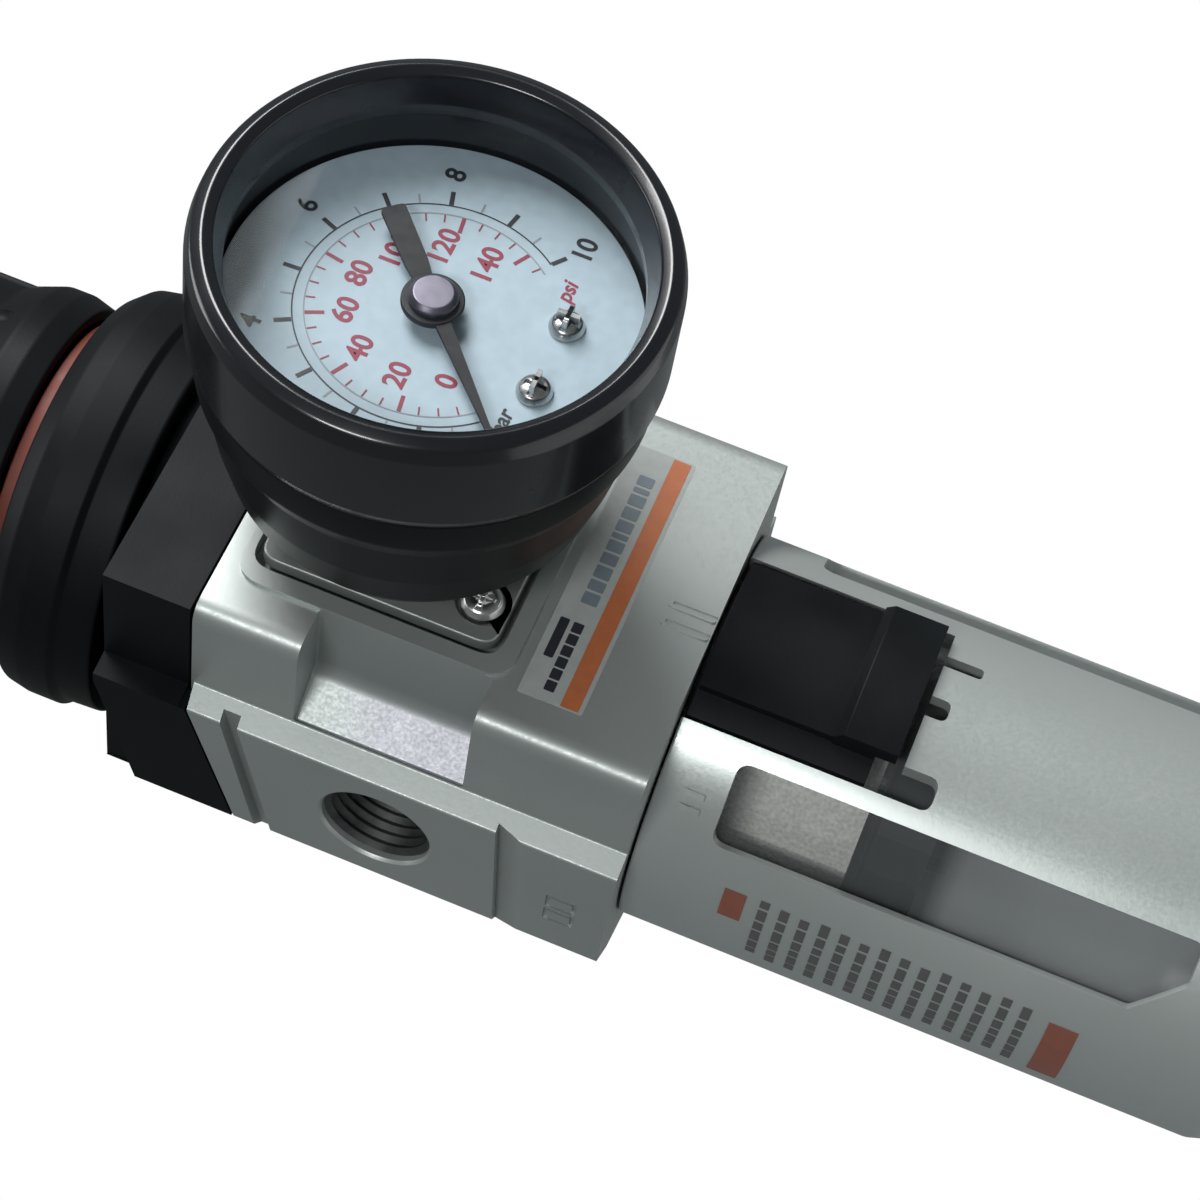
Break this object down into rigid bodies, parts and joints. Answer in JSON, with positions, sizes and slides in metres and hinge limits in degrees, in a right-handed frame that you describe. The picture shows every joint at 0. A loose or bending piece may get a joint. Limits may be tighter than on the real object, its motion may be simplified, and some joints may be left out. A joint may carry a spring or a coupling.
{
  "type": "air filter regulator",
  "caption": "Air filter regulator with side ports, adjusting knob, front pressure gauge, guarded clear bowl and drain.",
  "frame": {"origin": "on the port axis, midway between the two port faces", "axes": "+Z along the main axis towards the knob, +X along the port axis, gauge faces -Y"},
  "size_m": [0.053, 0.0943, 0.2067],
  "materials": {
    "cast_metal": "satin die-cast",
    "black_plastic": "fine moulded texture",
    "gauge_black": "glossy black",
    "lock_orange": "matte",
    "guard_silver": "satin silver",
    "clear_bowl": "clear polycarbonate",
    "element_white": "porous sintered",
    "dial_white": "printed dial",
    "glass": "clear window",
    "steel": "plated",
    "brass": "machined",
    "rubber": "moulded",
    "plate_grey": "moulded"
  },
  "bodies": {
    "root": {"body_casting": "cast_metal", "bonnet": "black_plastic", "bonnet_screw_1": "steel", "bonnet_screw_2": "steel", "bonnet_screw_3": "steel", "bonnet_screw_4": "steel", "panel_nut": "black_plastic", "lock_band": "lock_orange", "pressure_spring": "steel", "diaphragm": "rubber", "valve_spring": "steel", "valve_guide": "black_plastic", "filter_deflector": "black_plastic", "filter_element": "element_white", "filter_stud": "black_plastic", "baffle": "black_plastic", "gauge_adapter_plate": "plate_grey", "gauge_plate_seal": "rubber", "gauge_plate_screw_1": "steel", "gauge_plate_screw_2": "steel", "gauge_case": "gauge_black", "gauge_bezel": "gauge_black", "gauge_window": "glass", "gauge_dial": "dial_white", "dial_screw_1": "steel", "dial_screw_2": "steel", "gauge_socket": "brass", "bourdon_tube": "brass", "movement_plate": "brass", "rear_port_plug": "steel"},
    "adjusting_screw": {"adjusting_screw": "steel"},
    "knob": {"knob": "black_plastic", "knob_cap": "gauge_black"},
    "spring_nut": {"spring_nut": "steel"},
    "diaphragm_plate": {"diaphragm_plate": "brass"},
    "valve_poppet": {"valve_poppet": "brass"},
    "bowl": {"bowl": "clear_bowl", "bowl_o_ring": "rubber", "drain_seal": "rubber", "drain_stem": "brass"},
    "bowl_guard": {"bowl_guard": "guard_silver"},
    "lock_button": {"lock_button": "black_plastic"},
    "drain_knob": {"drain_knob": "black_plastic"},
    "pointer": {"pointer": "gauge_black", "pointer_shaft": "brass"},
    "sector_gear": {"sector_gear": "brass"}
  },
  "joints": [
    {"name": "adjusting_screw_turn", "type": "hinge", "parent": "root", "child": "adjusting_screw", "pos_m": [0, -0.0031, 0.06], "axis": [0, 0, -1], "range_deg": [0, 2160]},
    {"name": "knob_lock_slide", "type": "slide", "parent": "adjusting_screw", "child": "knob", "axis": [0, 0, -1], "range_m": [0, 0.0035]},
    {"name": "spring_nut_slide", "type": "slide", "parent": "root", "child": "spring_nut", "axis": [0, 0, -1], "range_m": [0, 0.009], "deforming": ["pressure_spring"]},
    {"name": "diaphragm_slide", "type": "slide", "parent": "root", "child": "diaphragm_plate", "axis": [0, 0, -1], "range_m": [0, 0.0008], "stiffness_N_per_m": 4000},
    {"name": "valve_slide", "type": "slide", "parent": "root", "child": "valve_poppet", "axis": [0, 0, -1], "range_m": [0, 0.0008], "stiffness_N_per_m": 4000, "deforming": ["valve_spring"]},
    {"name": "bowl_slide", "type": "slide", "parent": "root", "child": "bowl", "axis": [0, 0, -1], "range_m": [0, 0.06]},
    {"name": "bowl_guard_turn", "type": "hinge", "parent": "bowl", "child": "bowl_guard", "pos_m": [0, -0.0031, -0.06], "axis": [0, 0, 1], "range_deg": [0, 45]},
    {"name": "lock_button_slide", "type": "slide", "parent": "bowl_guard", "child": "lock_button", "axis": [0, 0, -1], "range_m": [0, 0.003], "stiffness_N_per_m": 400},
    {"name": "drain_knob_turn", "type": "hinge", "parent": "bowl", "child": "drain_knob", "pos_m": [0, -0.0031, -0.11], "axis": [0, 0, 1], "range_deg": [0, 90]},
    {"name": "pointer_turn", "type": "hinge", "parent": "root", "child": "pointer", "pos_m": [0, -0.0617, 0.0086], "axis": [0, 1, 0], "range_deg": [0, 262]},
    {"name": "sector_turn", "type": "hinge", "parent": "root", "child": "sector_gear", "pos_m": [0, -0.0507, -0.0019], "axis": [0, -1, 0], "range_deg": [0, 43.67]}
  ],
  "couplings": [
    {"joint": "adjusting_screw_turn", "follows": "spring_nut_slide", "rad_per_m": 4188.8},
    {"joint": "valve_slide", "follows": "diaphragm_slide", "ratio": 1},
    {"joint": "sector_turn", "follows": "pointer_turn", "ratio": 0.16667}
  ]
}
